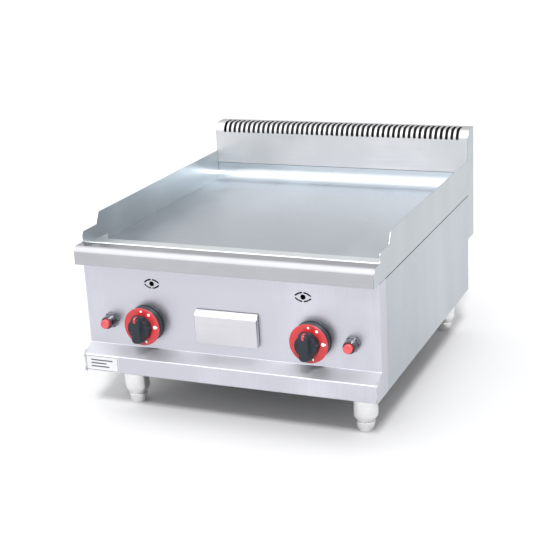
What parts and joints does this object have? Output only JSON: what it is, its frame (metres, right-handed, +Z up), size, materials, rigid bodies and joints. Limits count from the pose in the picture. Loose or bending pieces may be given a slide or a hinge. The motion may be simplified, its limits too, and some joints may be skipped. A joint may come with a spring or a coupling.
{
  "type": "gas griddle",
  "caption": "Counter-top gas griddle with a flat cooking plate, splash guards, slotted rear flue, grease drawer, turn knobs and igniter push buttons on four adjustable feet.",
  "frame": {"origin": "centre of the footprint of the whole box, on the surface that the feet stand on", "axes": "+X to the right as seen from the controls, +Y from the controls towards the flue, +Z up"},
  "size_m": [0.6, 0.721, 0.46],
  "materials": {
    "sheet_front": "fine vertical brushed satin stainless sheet",
    "sheet_side": "fine horizontal brushed satin stainless sheet",
    "sheet_guard": "fine horizontal brushed satin stainless sheet",
    "sheet_rail": "bright brushed stainless, rolled nose",
    "sheet_flue": "satin stainless sheet",
    "sheet_back": "plain mill-finish stainless sheet",
    "griddle_steel": "ground and polished cooking plate",
    "gutter_steel": "bright folded stainless sheet",
    "badge": "satin plate with a plain raised border",
    "chamber_steel": "heat-dulled aluminised sheet",
    "burner_steel": "heat-tinted stainless tube",
    "pipe_steel": "zinc-grey painted steel pipe",
    "brass": "machined brass",
    "copper": "drawn copper tube",
    "ceramic": "white glazed ceramic and silicone lead",
    "black_plastic": "moulded black heat-resistant plastic",
    "red_ring": "moulded red plastic with plain white marks",
    "red_button": "moulded red plastic",
    "drawer_steel": "satin stainless sheet",
    "foot_steel": "polished stainless",
    "screw_steel": "plain stainless"
  },
  "bodies": {
    "casing": {"base_frame": "sheet_back", "side_panel_left": "sheet_side", "side_panel_right": "sheet_side", "front_panel": "sheet_front", "rear_panel": "sheet_back", "top_rail": "sheet_rail", "grease_gutter": "gutter_steel", "grease_chute": "gutter_steel", "griddle_plate": "griddle_steel", "splash_guard_left": "sheet_guard", "splash_guard_right": "sheet_guard", "flue_cover": "sheet_flue", "flue_back": "sheet_back", "flue_end_left": "sheet_guard", "flue_end_right": "sheet_guard", "badge_plate": "badge", "heat_shield": "chamber_steel", "firewall": "chamber_steel", "gas_manifold": "pipe_steel", "supply_pipe": "pipe_steel", "drawer_runners": "chamber_steel", "rear_screws": "screw_steel", "burner_left": "burner_steel", "gas_valve_left": "brass", "gas_tube_left": "copper", "pilot_left": "chamber_steel", "electrode_left": "ceramic", "thermocouple_left": "copper", "igniter_barrel_left": "black_plastic", "knob_bezel_left": "black_plastic", "burner_right": "burner_steel", "gas_valve_right": "brass", "gas_tube_right": "copper", "pilot_right": "chamber_steel", "electrode_right": "ceramic", "thermocouple_right": "copper", "igniter_barrel_right": "black_plastic", "knob_bezel_right": "black_plastic", "foot_tube_front_left": "foot_steel", "foot_tube_front_right": "foot_steel", "foot_tube_rear_left": "foot_steel", "foot_tube_rear_right": "foot_steel"},
    "drawer": {"drawer_front": "drawer_steel", "drawer_box": "drawer_steel"},
    "knob_push_left": {"push_collar_left": "brass"},
    "knob_left": {"knob_left": "black_plastic", "dial_ring_left": "red_ring", "valve_spindle_left": "brass"},
    "button_left": {"igniter_button_left": "red_button"},
    "shutter_left": {"air_shutter_left": "burner_steel"},
    "knob_push_right": {"push_collar_right": "brass"},
    "knob_right": {"knob_right": "black_plastic", "dial_ring_right": "red_ring", "valve_spindle_right": "brass"},
    "button_right": {"igniter_button_right": "red_button"},
    "shutter_right": {"air_shutter_right": "burner_steel"},
    "foot_front_left": {"foot_screw_front_left": "foot_steel"},
    "foot_front_right": {"foot_screw_front_right": "foot_steel"},
    "foot_rear_left": {"foot_screw_rear_left": "foot_steel"},
    "foot_rear_right": {"foot_screw_rear_right": "foot_steel"}
  },
  "joints": [
    {"name": "drawer_slide", "type": "slide", "parent": "casing", "child": "drawer", "axis": [0, -1, 0], "range_m": [0, 0.28]},
    {"name": "knob_press_left", "type": "slide", "parent": "casing", "child": "knob_push_left", "axis": [0, 1, 0], "range_m": [0, 0.003], "stiffness_N_per_m": 1500, "springref_m": -0.002},
    {"name": "knob_turn_left", "type": "hinge", "parent": "knob_push_left", "child": "knob_left", "pos_m": [-0.17, -0.3315, 0.2], "axis": [0, -1, 0], "range_deg": [0, 165]},
    {"name": "igniter_press_left", "type": "slide", "parent": "casing", "child": "button_left", "axis": [0, 1, 0], "range_m": [0, 0.005], "stiffness_N_per_m": 1200, "springref_m": -0.003},
    {"name": "air_shutter_turn_left", "type": "hinge", "parent": "casing", "child": "shutter_left", "pos_m": [-0.17, -0.2165, 0.262], "axis": [0, 1, 0], "range_deg": [0, 60]},
    {"name": "knob_press_right", "type": "slide", "parent": "casing", "child": "knob_push_right", "axis": [0, 1, 0], "range_m": [0, 0.003], "stiffness_N_per_m": 1500, "springref_m": -0.002},
    {"name": "knob_turn_right", "type": "hinge", "parent": "knob_push_right", "child": "knob_right", "pos_m": [0.17, -0.3315, 0.2], "axis": [0, -1, 0], "range_deg": [0, 165]},
    {"name": "igniter_press_right", "type": "slide", "parent": "casing", "child": "button_right", "axis": [0, 1, 0], "range_m": [0, 0.005], "stiffness_N_per_m": 1200, "springref_m": -0.003},
    {"name": "air_shutter_turn_right", "type": "hinge", "parent": "casing", "child": "shutter_right", "pos_m": [0.17, -0.2165, 0.262], "axis": [0, 1, 0], "range_deg": [0, 60]},
    {"name": "foot_adjust_front_left", "type": "slide", "parent": "casing", "child": "foot_front_left", "axis": [0, 0, -1], "range_m": [0, 0.02]},
    {"name": "foot_adjust_front_right", "type": "slide", "parent": "casing", "child": "foot_front_right", "axis": [0, 0, -1], "range_m": [0, 0.02]},
    {"name": "foot_adjust_rear_left", "type": "slide", "parent": "casing", "child": "foot_rear_left", "axis": [0, 0, -1], "range_m": [0, 0.02]},
    {"name": "foot_adjust_rear_right", "type": "slide", "parent": "casing", "child": "foot_rear_right", "axis": [0, 0, -1], "range_m": [0, 0.02]}
  ]
}
